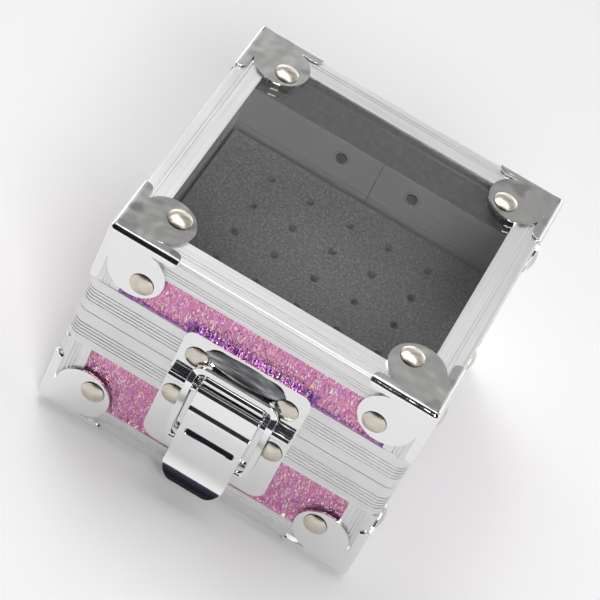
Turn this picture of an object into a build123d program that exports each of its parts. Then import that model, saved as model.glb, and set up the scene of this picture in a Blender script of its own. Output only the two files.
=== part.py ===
"""Small hinged storage box for drill bits, with a window lid and a draw latch.

Millimetres, +Z up, +X to the right, the latch faces -Y. The table is at z = 0, and the
origin is under the middle of the closed box, its latch and its hinge taken together.
"""

import os
from math import sqrt

from build123d import *

# Closed case, measured over the corner plates
case_width = 91.6
case_depth = 91.6
base_height = 37.1
lid_height = 31.2
seam_gap = 0.2

# Layers of the walls, from the outside in
corner_t = 0.7
angle_t = 0.7
board_t = 3.0
lining_t = 0.5
bottom_board_t = 2.4
window_t = 2.0
window_inset = 3.1

# Channels that close the edges of the base and the lid along the seam
rim_leg_t = 0.9
rim_outer_height = 11.4
lid_rim_inner_height = 12.8
base_rim_inner_height = 11.4
rim_web_t = 1.0
rim_inner_t = 0.8
rim_corner_r = 3.0
rim_inner_corner_r = 0.5
rim_joint_gap = 0.2
rim_groove_count = 5
rim_groove_pitch = 1.08
rim_groove_width = 0.36
rim_groove_depth = 0.3
lid_groove_start = 3.55
base_groove_start = 4.15

# Angles along the other edges of the case
angle_side_leg = 7.2
angle_flat_leg = 7.8
angle_r = 1.0
angle_groove_width = 0.3
angle_groove_depth = 0.2
side_leg_grooves = (3.6, 4.5, 5.4)
flat_leg_grooves = (2.9, 3.8)
post_grooves = (3.3, 4.2, 5.1)

# Corner plates: a round lobe on each face and a tongue along each edge
lobe_r = 7.7
lobe_inset = 10.7
lobe_rise = 10.1
tongue_reach = 2.6
tongue_tip = 19.0

# Rivets
rivet_head_r = 3.25
rivet_rise = 1.2
rivet_crown_r = 0.9
rivet_shank_r = 1.5
rivet_tail_r = 2.2
rivet_tail_rise = 0.6
rivet_hole_clearance = 0.1
corner_rivet_inset = 13.2
corner_rivet_rise = 12.6

# Foam insert with its grid of bit holes
foam_inset = 6.0
foam_top_drop = 2.1
foam_clearance = 0.2
bit_columns = 5
bit_rows = 6
bit_pitch = 12.0
bit_hole_r = 1.15
bit_hole_depth = 24.0

# Latch plate on the base, with the barrel of the lever's pin. All heights of the latch are
# over the seam, so it stays in step with the two edges that it draws together
latch_sheet_t = 0.7
latch_width = 35.4
latch_plate_low = -27.6
latch_plate_corner_r = 4.0
latch_plate_gap = 0.3
latch_rivet_x = 14.0
latch_rivet_height = -9.3
lever_pin_out = 2.0
lever_pin_height = -1.2
lever_pin_r = 0.65
pin_fit = 0.05
barrel_r = 1.15
barrel_end_inset = 0.5

# Lever of the latch
lever_width = 17.4
lever_side_gap = 0.3
lever_knuckle_r = 1.4
lever_wall = 0.9
lever_back_out = 0.6
lever_front_out = 4.3
lever_shoulder_out = 4.1
lever_shoulder_height = -5.2
lever_groove_height = -6.1
lever_groove_width = 1.9
lever_groove_depth = 0.7
lever_slot_height = -14.6
lever_slot_width = 3.4
lever_slot_length = 14.6
lever_scoop_height = -19.8
lever_tip_out = 7.2
lever_tip_height = -30.2
lever_tip_corner_r = 4.0
lever_wall_low = -23.0

# Loop of the latch: a bowed strip, hung on the lever by two short pins
loop_width = 24.6
loop_strip = 1.8
loop_bar = 1.6
loop_t = 1.0
loop_corner_r = 3.5
loop_pin_out = 2.0
loop_pin_height = -21.1
loop_pin_r = 0.8
loop_pin_reach = 1.5
loop_bow_out = 3.9
loop_bow_low = -3.2
loop_bow_high = 0.6
loop_bow_run = 4.5
loop_bar_out = 1.8
loop_bar_top = 6.4
loop_neck_height = 4.5
loop_bend_r = 1.2

# Strike plate on the lid, with the hook that the loop's bar pulls down on
strike_low = -0.9
strike_high = 13.9
strike_corner_r = 3.0
strike_relief = 0.2
strike_rivet_x = 12.7
strike_rivet_height = 6.5
hook_width = 17.0
hook_out = 3.4
hook_low = 1.7
hook_bar_gap = 0.15
hook_nose_r = 1.2
dish_length = 21.6
dish_width = 6.2
dish_height = 9.7
dish_depth = 0.4
dish_slope = 45.0

# Hinge at the back
hinge_width = 34.0
hinge_leaf_t = 0.8
hinge_leaf_height = 9.0
hinge_barrel_r = 1.9
hinge_pin_r = 0.9
hinge_clearance = 0.3
hinge_knuckle_gap = 0.2
hinge_middle_share = 0.4
hinge_rivet_x = 10.8
hinge_rivet_drop = 5.2

os.makedirs("parts", exist_ok=True)

# Places that follow from the sizes above
dome_r = (rivet_head_r**2 + rivet_rise**2) / (2 * rivet_rise)
rivet_height = sqrt(dome_r**2 - rivet_crown_r**2) - dome_r + rivet_rise
case_bottom = rivet_height
seam = case_bottom + base_height
case_top = seam + lid_height
board_in = corner_t + angle_t
board_back = board_in + board_t
rim_in = board_in - rim_leg_t
board_corner_r = rim_corner_r - rim_leg_t
plate_edge_r = angle_r + corner_t
bottom_board_top = case_bottom + board_in + bottom_board_t
lid_board_top = case_top - board_in - window_t
base_rim_low = seam - seam_gap / 2 - rim_outer_height
lid_rim_low = seam + seam_gap / 2
lining_low = lid_rim_low + lid_rim_inner_height
foam_top = seam - foam_top_drop
hinge_axis_back = hinge_clearance + hinge_barrel_r
hinge_reach = hinge_axis_back + hinge_barrel_r - rim_in
mid_y = (lever_tip_out - hinge_reach) / 2
front_y = mid_y - case_depth / 2
back_y = mid_y + case_depth / 2
hinge_y = back_y - rim_in + hinge_axis_back
up = Vector(0, 0, 1)
middle = Vector(0, mid_y, 0)

# Each side of the case: its inward direction, the case's size across it and along it
sides = {
    "front": (Vector(0, 1, 0), case_depth, case_width),
    "back": (Vector(0, -1, 0), case_depth, case_width),
    "left": (Vector(1, 0, 0), case_width, case_depth),
    "right": (Vector(-1, 0, 0), case_width, case_depth),
}
corner_signs = {
    "front_left": (-1, -1),
    "front_right": (1, -1),
    "back_left": (-1, 1),
    "back_right": (1, 1),
}


def keep(part, name):
    """Label a finished piece and write it."""
    part.label = name
    export_step(part, f"parts/{name}.step")


def wall_plane(side, inset=0.0):
    """Upright plane on a side, facing outward, with local y as the height over the table."""
    inward, span, _ = sides[side]
    return Plane(
        origin=middle - inward * (span / 2 - inset), x_dir=inward.cross(up), z_dir=-inward
    )


def out(distance, height):
    """Point of a side view of the latch: its distance in front of the corner plates and its
    height over the seam."""
    return (front_y - distance, seam + height)


def spot(plane, x, height):
    """Plane on a wall plane, moved to a point of it."""
    return Plane(
        origin=plane.from_local_coords((x, height, 0)), x_dir=plane.x_dir, z_dir=plane.z_dir
    )


def outline(inset, radius, mode=Mode.ADD):
    """Rounded rectangle of the case's plan, drawn in from the corner plates' faces."""
    with Locations((0, mid_y)):
        RectangleRounded(case_width - 2 * inset, case_depth - 2 * inset, radius, mode=mode)


def ring(inset, radius, thickness, low, high, mode=Mode.ADD):
    """Upright band that follows the case's plan."""
    with BuildSketch(Plane.XY.offset(low)) as band:
        outline(inset, radius)
        inner_r = max(radius - thickness, rim_inner_corner_r)
        outline(inset + thickness, inner_r, mode=Mode.SUBTRACT)
    extrude(band.sketch, amount=high - low, mode=mode)


def shank_holes(spots, reach):
    """Holes for rivet shanks, cut through the part in hand."""
    with Locations(*spots):
        Cylinder(rivet_shank_r + rivet_hole_clearance, 2 * reach, mode=Mode.SUBTRACT)


def make_rivet(grip):
    """Rivet along Z with its head on z = 0 and its closed tail at the depth of the grip."""

    def on_dome(radius):
        return (radius, sqrt(dome_r**2 - radius**2) - dome_r + rivet_rise)

    tail = -grip - rivet_tail_rise
    with BuildPart() as rivet:
        with BuildSketch(Plane.XZ):
            with BuildLine():
                Polyline(
                    on_dome(rivet_crown_r),
                    on_dome((rivet_crown_r + rivet_head_r) / 2),
                    (rivet_head_r, 0),
                    (rivet_shank_r, 0),
                    (rivet_shank_r, -grip),
                    (rivet_tail_r, -grip),
                    (rivet_tail_r, tail),
                    (0, tail),
                    (0, rivet_height),
                    on_dome(rivet_crown_r),
                )
            make_face()
        revolve(axis=Axis.Z)
    return rivet.part


def rivet_group(name, grip, spots):
    """Rivets of one grip at their spots, as separate solids of one piece."""
    rivet = make_rivet(grip)
    with BuildPart() as group:
        with Locations(*spots):
            add(rivet)
    keep(group.part, name)


# Spots of the corner rivets: two on each side of the base and of the lid, and four below
# and above
def corner_spots(side, height):
    """The two spots on a side, at a height."""
    _, _, length = sides[side]
    reach = length / 2 - corner_rivet_inset
    return [spot(wall_plane(side), x, height) for x in (-reach, reach)]


base_rivet_height = case_bottom + corner_rivet_rise
lid_rivet_height = case_top - corner_rivet_rise
base_spots = {side: corner_spots(side, base_rivet_height) for side in sides}
lid_spots = {side: corner_spots(side, lid_rivet_height) for side in sides}


def flat_spots(height, direction):
    """Four spots on the underside or on the top."""
    x = case_width / 2 - corner_rivet_inset
    y = case_depth / 2 - corner_rivet_inset
    return [
        Plane(origin=(sx * x, mid_y + sy * y, height), x_dir=(1, 0, 0), z_dir=(0, 0, direction))
        for sx, sy in corner_signs.values()
    ]


foot_spots = flat_spots(case_bottom, -1)
top_spots = flat_spots(case_top, 1)


def hardware_spots(plane, x, height):
    """A pair of rivet spots on a plate."""
    return [spot(plane, sign * x, height) for sign in (-1, 1)]


plate_face = wall_plane("front", rim_in - latch_sheet_t)
leaf_face = wall_plane("back", rim_in - hinge_leaf_t)
leaf_rivet_rise = hinge_barrel_r + hinge_clearance + hinge_rivet_drop
latch_spots = hardware_spots(plate_face, latch_rivet_x, seam + latch_rivet_height)
strike_spots = hardware_spots(plate_face, strike_rivet_x, seam + strike_rivet_height)
hinge_base_spots = hardware_spots(leaf_face, hinge_rivet_x, seam - leaf_rivet_rise)
hinge_lid_spots = hardware_spots(leaf_face, hinge_rivet_x, seam + leaf_rivet_rise)
base_wall_spots = dict(base_spots)
base_wall_spots["front"] = base_spots["front"] + latch_spots
base_wall_spots["back"] = base_spots["back"] + hinge_base_spots
lid_wall_spots = dict(lid_spots)
lid_wall_spots["front"] = lid_spots["front"] + strike_spots
lid_wall_spots["back"] = lid_spots["back"] + hinge_lid_spots
through_wall = 2 * board_back


# Boards
def side_board(name, side, low, high, spots):
    """Wall board. The front and back ones run the full width, the others fit between."""
    inward, span, length = sides[side]
    full = side in ("front", "back")
    board_length = length - 2 * (board_in if full else board_back)
    centre = middle - inward * (span / 2 - board_in - board_t / 2)
    with BuildPart() as board:
        with BuildSketch(Plane(origin=centre + up * low, x_dir=inward.cross(up), z_dir=up)):
            Rectangle(board_length, board_t)
        extrude(amount=high - low)
        if full:
            outer = board.edges().filter_by(Axis.Z).group_by(Axis.Y)
            fillet(outer[0 if side == "front" else -1], board_corner_r)
        shank_holes(spots, through_wall)
    keep(board.part, name)


for side in sides:
    base_high = seam - seam_gap / 2 - rim_web_t
    side_board(f"base_{side}_board", side, bottom_board_top, base_high, base_wall_spots[side])
    lid_low = lid_rim_low + rim_web_t
    side_board(f"lid_{side}_board", side, lid_low, lid_board_top, lid_wall_spots[side])

with BuildPart() as base_bottom_board:
    with BuildSketch(Plane.XY.offset(case_bottom + board_in)):
        outline(board_in, board_corner_r)
    extrude(amount=bottom_board_t)
    lower_edges = base_bottom_board.faces().sort_by(Axis.Z)[0].edges()
    fillet(lower_edges, angle_r - angle_t)
    shank_holes(foot_spots, through_wall)
keep(base_bottom_board.part, "base_bottom_board")

with BuildPart() as window:
    with BuildSketch(Plane.XY.offset(lid_board_top)):
        outline(window_inset, rim_inner_corner_r)
    extrude(amount=window_t)
    shank_holes(top_spots, through_wall)
keep(window.part, "window")

with BuildPart() as lid_lining:
    ring(board_back, rim_inner_corner_r, lining_t, lining_low, lid_board_top)
    shank_holes([s for spots in lid_spots.values() for s in spots], through_wall)
keep(lid_lining.part, "lid_lining")


# Seam channels
def make_rim(name, seam_side, direction, inner_height, groove_start, spots):
    """Channel round the open edge. It is bent from one length, with its joint at the back."""

    def band(inset, radius, thickness, start, end, mode=Mode.ADD):
        low, high = sorted((seam_side + direction * start, seam_side + direction * end))
        ring(inset, radius, thickness, low, high, mode)

    with BuildPart() as rim:
        band(rim_in, rim_corner_r, rim_leg_t, 0, rim_outer_height)
        web = rim_leg_t + board_t + rim_inner_t
        band(rim_in, rim_corner_r, web, 0, rim_web_t)
        band(board_back, rim_inner_corner_r, rim_inner_t, 0, inner_height)
        for i in range(rim_groove_count):
            start = groove_start + i * rim_groove_pitch
            end = start + rim_groove_width
            band(rim_in, rim_corner_r, rim_groove_depth, start, end, Mode.SUBTRACT)
        with Locations((0, back_y, seam)):
            Box(rim_joint_gap, 2 * board_back + board_t, base_height, mode=Mode.SUBTRACT)
        shank_holes(spots, through_wall)
    keep(rim.part, name)


make_rim(
    "base_rim",
    seam - seam_gap / 2,
    -1,
    base_rim_inner_height,
    base_groove_start,
    latch_spots + hinge_base_spots,
)
make_rim(
    "lid_rim", lid_rim_low, 1, lid_rim_inner_height, lid_groove_start, strike_spots + hinge_lid_spots
)


# Angles
def angle_section(x_leg, y_leg, x_grooves, y_grooves):
    """Section of an angle whose outer corner is at the sketch's origin."""
    with BuildLine() as section:
        FilletPolyline((x_leg, 0), (0, 0), (0, y_leg), radius=angle_r)
        Line((0, y_leg), (angle_t, y_leg))
        inner = ((angle_t, y_leg), (angle_t, angle_t), (x_leg, angle_t))
        FilletPolyline(*inner, radius=angle_r - angle_t)
        Line((x_leg, angle_t), (x_leg, 0))
    make_face(section.edges())
    depth = 2 * angle_groove_depth
    with Locations(*[(x, 0) for x in x_grooves]):
        Rectangle(angle_groove_width, depth, mode=Mode.SUBTRACT)
    with Locations(*[(0, y) for y in y_grooves]):
        Rectangle(depth, angle_groove_width, mode=Mode.SUBTRACT)


def edge_angle(name, side, height, vertical):
    """Angle along a bottom or top edge, mitred at both ends."""
    inward, span, length = sides[side]
    corner = middle - inward * (span / 2 - corner_t) + up * height
    along = inward.cross(up)
    half = length / 2 - corner_t
    with BuildPart() as angle:
        with BuildSketch(Plane(origin=corner, x_dir=inward, z_dir=inward.cross(up * vertical))):
            angle_section(angle_flat_leg, angle_side_leg, flat_leg_grooves, side_leg_grooves)
        extrude(amount=half, both=True)
        with BuildSketch(Plane(origin=corner, x_dir=along, z_dir=up)):
            end, tip = half - angle_r, half - angle_flat_leg
            mitre = ((end, 0), (end, angle_r), (tip, angle_flat_leg))
            Polygon(*mitre, *[(-x, y) for x, y in reversed(mitre)], align=None)
        extrude(amount=angle_side_leg, both=True, mode=Mode.INTERSECT)
    keep(angle.part, name)


def post_angle(name, signs, low, high):
    """Angle up a vertical corner."""
    sx, sy = signs
    corner = (sx * (case_width / 2 - corner_t), mid_y + sy * (case_depth / 2 - corner_t), low)
    x_dir = (-sx, 0, 0) if sx == sy else (0, -sy, 0)
    with BuildPart() as post:
        with BuildSketch(Plane(origin=corner, x_dir=x_dir, z_dir=up)):
            angle_section(angle_flat_leg, angle_flat_leg, post_grooves, post_grooves)
        extrude(amount=high - low)
    keep(post.part, name)


for side in sides:
    edge_angle(f"base_{side}_edge", side, case_bottom + corner_t, 1)
    edge_angle(f"lid_{side}_edge", side, case_top - corner_t, -1)

for corner, signs in corner_signs.items():
    post_low = case_bottom + corner_t + angle_side_leg
    post_angle(f"base_{corner}_post", signs, post_low, base_rim_low)
    post_low = lid_rim_low + rim_outer_height
    post_angle(f"lid_{corner}_post", signs, post_low, case_top - corner_t - angle_side_leg)


# Corner plates
finger_r = tongue_reach / sqrt(2)


def plate_outline(across, along):
    """One face of a corner plate, with the case's corner at the sketch's origin."""
    low = (Align.MIN, Align.MIN)
    Rectangle(across, along, align=low)
    with Locations((across, along)):
        Circle(lobe_r)
    Rectangle(tongue_tip, tongue_reach, align=low)
    Rectangle(tongue_reach, tongue_tip, align=low)


def rounded_octant(start, radius):
    """Block from a corner point into the case, with the three edges at that point rounded."""
    size = 2 * tongue_tip
    with BuildPart() as block:
        with Locations((start, start, start)):
            Box(size, size, size, align=(Align.MIN, Align.MIN, Align.MIN))
        fillet(block.edges().sort_by_distance((start, start, start))[:3], radius)
    return block.part


faces_of_corner = {
    Plane.XY: (lobe_inset, lobe_inset, corner_rivet_inset, corner_rivet_inset),
    Plane.YZ: (lobe_inset, lobe_rise, corner_rivet_inset, corner_rivet_rise),
    Plane.ZX: (lobe_rise, lobe_inset, corner_rivet_rise, corner_rivet_inset),
}
plate_body = rounded_octant(0, plate_edge_r)
plate_hollow = rounded_octant(corner_t, angle_r)
with BuildPart() as plate_reach:
    for face, (across, along, _, _) in faces_of_corner.items():
        with BuildSketch(face):
            plate_outline(across, along)
        extrude(amount=plate_edge_r)
with BuildPart() as corner_plate:
    add(plate_body)
    add(plate_hollow, mode=Mode.SUBTRACT)
    add(plate_reach.part, mode=Mode.INTERSECT)
    plate_spots = [
        Plane(origin=face.from_local_coords((across, along, 0)), z_dir=face.z_dir)
        for face, (_, _, across, along) in faces_of_corner.items()
    ]
    shank_holes(plate_spots, 2 * corner_t)
    for tongue in (Vector(1, 0, 0), Vector(0, 1, 0), Vector(0, 0, 1)):
        start = tongue * (tongue_tip - finger_r)
        diagonal = Vector(1, 1, 1) - tongue
        with BuildSketch(Plane(origin=start, x_dir=tongue, z_dir=diagonal)):
            Rectangle(2 * finger_r, 4 * finger_r, align=(Align.MIN, Align.CENTER))
            Circle(finger_r, mode=Mode.SUBTRACT)
        extrude(amount=2 * tongue_reach, both=True, mode=Mode.SUBTRACT)


def place_corner(name, signs, height, vertical):
    """The same plate, turned into one of the case's eight corners."""
    sx, sy = signs
    corner = (sx * case_width / 2, mid_y + sy * case_depth / 2, height)
    x_dir = (-sx, 0, 0) if sx * vertical == sy else (0, -sy, 0)
    with BuildPart() as placed:
        with Locations(Plane(origin=corner, x_dir=x_dir, z_dir=(0, 0, vertical))):
            add(corner_plate.part)
    keep(placed.part, name)


for corner, signs in corner_signs.items():
    place_corner(f"base_{corner}_corner", signs, case_bottom, 1)
    place_corner(f"lid_{corner}_corner", signs, case_top, -1)

# Rivets
rivet_group("base_side_rivets", board_back, [s for spots in base_spots.values() for s in spots])
rivet_group("foot_rivets", board_in + bottom_board_t, foot_spots)
lid_grip = board_back + lining_t
rivet_group("lid_side_rivets", lid_grip, [s for spots in lid_spots.values() for s in spots])
rivet_group("lid_top_rivets", board_in + window_t, top_spots)
plate_grip = latch_sheet_t + rim_leg_t + board_t + rim_inner_t
rivet_group("latch_plate_rivets", plate_grip, latch_spots)
rivet_group("strike_rivets", plate_grip, strike_spots)
leaf_grip = hinge_leaf_t + rim_leg_t + board_t + rim_inner_t
rivet_group("hinge_base_rivets", leaf_grip, hinge_base_spots)
rivet_group("hinge_lid_rivets", leaf_grip, hinge_lid_spots)

# Foam insert
with BuildPart() as foam_insert:
    with BuildSketch(Plane.XY.offset(bottom_board_top)):
        outline(foam_inset, rim_inner_corner_r)
    extrude(amount=foam_top - bottom_board_top)
    with BuildSketch(Plane.XY.offset(bottom_board_top)):
        with Locations(*[(s.origin.X, s.origin.Y) for s in foot_spots]):
            Circle(rivet_tail_r + foam_clearance)
    extrude(amount=rivet_tail_rise + foam_clearance, mode=Mode.SUBTRACT)
    with Locations((0, mid_y, foam_top - bit_hole_depth / 2)):
        with GridLocations(bit_pitch, bit_pitch, bit_columns, bit_rows):
            Cylinder(bit_hole_r, bit_hole_depth, mode=Mode.SUBTRACT)
keep(foam_insert.part, "foam_insert")

# Latch plate: a flat sheet over the base channel whose edges turn back to the board, with a
# barrel rolled at each end of its top edge
plate_low = seam + latch_plate_low
plate_high = seam + strike_low - latch_plate_gap
sheet_out = latch_sheet_t - rim_in
barrel_start = lever_width / 2 + lever_side_gap
barrel_end = latch_width / 2 - barrel_end_inset


def sheet_outline(width, square_end, round_end, radius, mode=Mode.ADD):
    """Front view of a sheet, with the two corners at one of its ends rounded."""
    half = width / 2
    right, left = (half, square_end), (-half, square_end)
    with BuildLine() as sheet:
        FilletPolyline(right, (half, round_end), (-half, round_end), left, radius=radius)
        Line(left, right)
    make_face(sheet.edges(), mode=mode)


def turned_edge(square_end, round_end, radius, cover):
    """Edge of a plate, turned back over the channel's end to the board behind."""
    inner_end = round_end - latch_sheet_t * (1 if round_end > square_end else -1)
    with BuildSketch(wall_plane("front", board_in)) as edge:
        sheet_outline(latch_width, square_end, round_end, radius)
        inner_width = latch_width - 2 * latch_sheet_t
        sheet_outline(inner_width, square_end, inner_end, radius - latch_sheet_t, Mode.SUBTRACT)
        with Locations((0, (cover + round_end) / 2)):
            Rectangle(latch_width, abs(round_end - cover), mode=Mode.INTERSECT)
    extrude(edge.sketch, amount=rim_leg_t)


with BuildPart() as latch_plate:
    with BuildSketch(wall_plane("front", rim_in)):
        sheet_outline(latch_width, plate_high, plate_low, latch_plate_corner_r)
    extrude(amount=latch_sheet_t)
    turned_edge(plate_high, plate_low, latch_plate_corner_r, base_rim_low)
    with BuildSketch(Plane.YZ.offset(barrel_start)):
        with BuildLine():
            plate_top = plate_high - seam
            Polyline(
                out(-rim_in, plate_top),
                out(sheet_out, plate_top),
                out(lever_pin_out, lever_pin_height + barrel_r),
                out(lever_pin_out, lever_pin_height - barrel_r),
                out(sheet_out, lever_pin_height - 2 * barrel_r),
                out(-rim_in, lever_pin_height - 2 * barrel_r),
                close=True,
            )
        make_face()
        with Locations(out(lever_pin_out, lever_pin_height)):
            Circle(barrel_r)
            Circle(lever_pin_r + pin_fit, mode=Mode.SUBTRACT)
    extrude(amount=barrel_end - barrel_start)
    mirror(about=Plane.YZ)
    shank_holes(latch_spots, 2 * latch_sheet_t)
keep(latch_plate.part, "latch_plate")

with BuildPart() as latch_pin:
    with BuildSketch(Plane.YZ):
        with Locations(out(lever_pin_out, lever_pin_height)):
            Circle(lever_pin_r)
    extrude(amount=barrel_end, both=True)
keep(latch_pin.part, "latch_pin")

# Lever: a pressed channel that curls round the pin at the top and flares out at the tip
tip_lip = (lever_tip_out - lever_wall, lever_tip_height - lever_wall / 2)
scoop_mid_out = lever_front_out + (lever_tip_out - lever_front_out) / 4
scoop_mid_height = (lever_scoop_height + lever_tip_height) / 2
lever_inner_out = lever_front_out - lever_wall
with BuildPart() as latch_lever:
    with BuildSketch(Plane.YZ):
        with BuildLine():
            Polyline(
                out(lever_pin_out + lever_knuckle_r, lever_pin_height),
                out(lever_shoulder_out, lever_shoulder_height),
                out(lever_front_out, lever_slot_height),
                out(lever_front_out, lever_scoop_height),
            )
            ThreePointArc(
                out(lever_front_out, lever_scoop_height),
                out(scoop_mid_out, scoop_mid_height),
                out(lever_tip_out, lever_tip_height),
            )
            Line(out(lever_tip_out, lever_tip_height), out(*tip_lip))
            ThreePointArc(
                out(*tip_lip),
                out(scoop_mid_out - lever_wall, scoop_mid_height),
                out(lever_inner_out, lever_wall_low),
            )
            Polyline(
                out(lever_inner_out, lever_wall_low),
                out(loop_pin_out, lever_wall_low),
                out(lever_back_out, loop_pin_height),
                out(lever_back_out, lever_pin_height),
                out(lever_pin_out + lever_knuckle_r, lever_pin_height),
            )
        make_face()
        with Locations(out(lever_pin_out, lever_pin_height)):
            Circle(lever_knuckle_r)
    extrude(amount=lever_width / 2, both=True)
    with BuildSketch(Plane.YZ):
        with BuildLine():
            groove_deep = lever_shoulder_out - lever_groove_depth - lever_wall
            slot_deep = lever_inner_out - lever_groove_depth
            Polyline(
                out(-lever_wall, lever_pin_height - lever_knuckle_r - lever_wall / 2),
                out(
                    lever_pin_out + lever_knuckle_r - lever_wall,
                    lever_pin_height - lever_knuckle_r - lever_wall / 2,
                ),
                out(groove_deep, lever_groove_height + lever_groove_width),
                out(groove_deep, lever_groove_height - lever_groove_width),
                out(lever_shoulder_out - lever_wall, lever_groove_height - 2 * lever_groove_width),
                out(slot_deep, lever_slot_height + lever_slot_width),
                out(slot_deep, lever_slot_height - lever_slot_width / 2 - lever_wall),
                out(lever_inner_out, lever_scoop_height),
                out(lever_inner_out, lever_wall_low - lever_wall),
                out(-lever_wall, lever_wall_low - lever_wall),
                close=True,
            )
        make_face()
    extrude(amount=lever_width / 2 - lever_wall, both=True, mode=Mode.SUBTRACT)
    with BuildSketch(Plane.YZ):
        half_groove = lever_groove_width / 2
        with BuildLine():
            Polyline(
                out(lever_tip_out, lever_groove_height + half_groove),
                out(lever_shoulder_out - lever_groove_depth, lever_groove_height + half_groove / 2),
                out(lever_shoulder_out - lever_groove_depth, lever_groove_height - half_groove / 2),
                out(lever_tip_out, lever_groove_height - half_groove),
                close=True,
            )
        make_face()
    extrude(amount=lever_width / 2, both=True, mode=Mode.SUBTRACT)
    with BuildSketch(wall_plane("front", lever_groove_depth - lever_front_out)):
        with Locations((0, seam + lever_slot_height)):
            SlotOverall(lever_slot_length, lever_slot_width)
    extrude(amount=lever_groove_depth, mode=Mode.SUBTRACT)
    with BuildSketch(wall_plane("front")):
        lever_high = seam + lever_pin_height + lever_knuckle_r
        lever_low = seam + lever_tip_height - lever_wall / 2
        sheet_outline(lever_width, lever_high, lever_low, lever_tip_corner_r)
    extrude(amount=lever_tip_out, mode=Mode.INTERSECT)
    with BuildSketch(Plane.YZ):
        with Locations(out(lever_pin_out, lever_pin_height)):
            Circle(lever_pin_r + pin_fit)
        with Locations(out(loop_pin_out, loop_pin_height)):
            Circle(loop_pin_r + pin_fit)
    extrude(amount=lever_width, both=True, mode=Mode.SUBTRACT)
keep(latch_lever.part, "latch_lever")

# Loop: a side view of the bowed strip, and a front view of the ring, taken together
loop_foot = loop_pin_height - loop_strip / 2
loop_centre = (
    (loop_pin_out, loop_foot),
    (loop_pin_out, loop_bow_low - loop_bow_run),
    (loop_bow_out, loop_bow_low),
    (loop_bow_out, loop_bow_high),
    (loop_bar_out, loop_neck_height),
    (loop_bar_out, loop_bar_top),
)
loop_rise = loop_bar_top - loop_foot
with BuildPart() as loop_profile:
    with BuildSketch(Plane.YZ):
        with BuildLine() as loop_line:
            FilletPolyline(*[out(*p) for p in loop_centre], radius=loop_bend_r)
        trace(line_width=loop_t)
    extrude(amount=loop_width / 2, both=True)
with BuildPart() as latch_loop:
    with BuildSketch(wall_plane("front")):
        with Locations((0, seam + loop_foot + loop_rise / 2)):
            RectangleRounded(loop_width, loop_rise, loop_corner_r)
        inner_width = loop_width - 2 * loop_strip
        inner_r = loop_corner_r - loop_strip
        with Locations((0, seam + loop_foot + loop_strip)):
            align = (Align.CENTER, Align.MIN)
            inner_rise = loop_rise - loop_strip - loop_bar
            RectangleRounded(
                inner_width, inner_rise, inner_r, align=align, mode=Mode.SUBTRACT
            )
            Rectangle(2 * barrel_start, 2 * loop_strip, mode=Mode.SUBTRACT)
    extrude(amount=lever_tip_out)
    add(loop_profile.part, mode=Mode.INTERSECT)
    pin_start, pin_end = barrel_start + loop_pin_r, lever_width / 2 - loop_pin_reach
    with BuildSketch(Plane.YZ.offset(pin_end)):
        with Locations(out(loop_pin_out, loop_pin_height)):
            Circle(loop_pin_r)
    extrude(amount=pin_start - pin_end)
    mirror(about=Plane.YZ)
keep(latch_loop.part, "latch_loop")

# Strike plate with its hook and its pressed dish
hook_top = loop_bar_top - loop_bar - hook_bar_gap
nose = (hook_out - hook_nose_r, hook_top - hook_nose_r)
strike_top = seam + strike_high
with BuildPart() as hook:
    with BuildSketch(Plane.YZ):
        with BuildLine():
            Polyline(
                out(-rim_in, hook_low),
                out(nose[0], nose[1] - hook_nose_r),
                out(*nose),
                out(-rim_in, nose[1]),
                close=True,
            )
        make_face()
        with Locations(out(*nose)):
            Circle(hook_nose_r)
    extrude(amount=hook_width / 2, both=True)
    with BuildSketch(wall_plane("front", rim_in)):
        with Locations((0, seam + (hook_top + hook_low) / 2)):
            RectangleRounded(hook_width, hook_top - hook_low, hook_nose_r)
    extrude(amount=hook_out + rim_in, mode=Mode.INTERSECT)
with BuildPart() as strike_plate:
    with BuildSketch(wall_plane("front", rim_in)):
        sheet_outline(latch_width, seam + strike_low, strike_top, strike_corner_r)
    extrude(amount=latch_sheet_t)
    turned_edge(seam, strike_top, strike_corner_r, lid_rim_low + rim_outer_height)
    add(hook.part)
    with BuildSketch(wall_plane("front", rim_in)):
        with Locations((0, seam)):
            Rectangle(latch_width, -2 * strike_low)
    extrude(amount=strike_relief, mode=Mode.SUBTRACT)
    with BuildSketch(wall_plane("front", rim_in - latch_sheet_t)):
        with Locations((0, seam + dish_height)):
            SlotOverall(dish_length, dish_width)
    extrude(amount=-dish_depth, taper=dish_slope, mode=Mode.SUBTRACT)
    shank_holes(strike_spots, 2 * latch_sheet_t)
keep(strike_plate.part, "strike_plate")


# Hinge
def make_leaf(name, direction, knuckles, spots):
    """Hinge leaf on one channel, with its share of the knuckles."""
    start = seam + direction * (hinge_barrel_r + hinge_clearance)
    end = start + direction * hinge_leaf_height
    channel_y = back_y - rim_in
    with BuildPart() as leaf:
        with BuildSketch(wall_plane("back", rim_in)):
            sheet_outline(hinge_width, start, end, hinge_leaf_t)
        extrude(amount=hinge_leaf_t)
        for knuckle_start, knuckle_end in knuckles:
            with BuildSketch(Plane.YZ.offset(knuckle_start)):
                with BuildLine():
                    Polyline(
                        (channel_y, start),
                        (channel_y + hinge_leaf_t, start),
                        (hinge_y, seam + direction * hinge_barrel_r),
                        (hinge_y - hinge_barrel_r, seam),
                        close=True,
                    )
                make_face()
                with Locations((hinge_y, seam)):
                    Circle(hinge_barrel_r)
                    Circle(hinge_pin_r + pin_fit, mode=Mode.SUBTRACT)
            extrude(amount=knuckle_end - knuckle_start)
        shank_holes(spots, 2 * hinge_leaf_t)
    keep(leaf.part, name)


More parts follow.
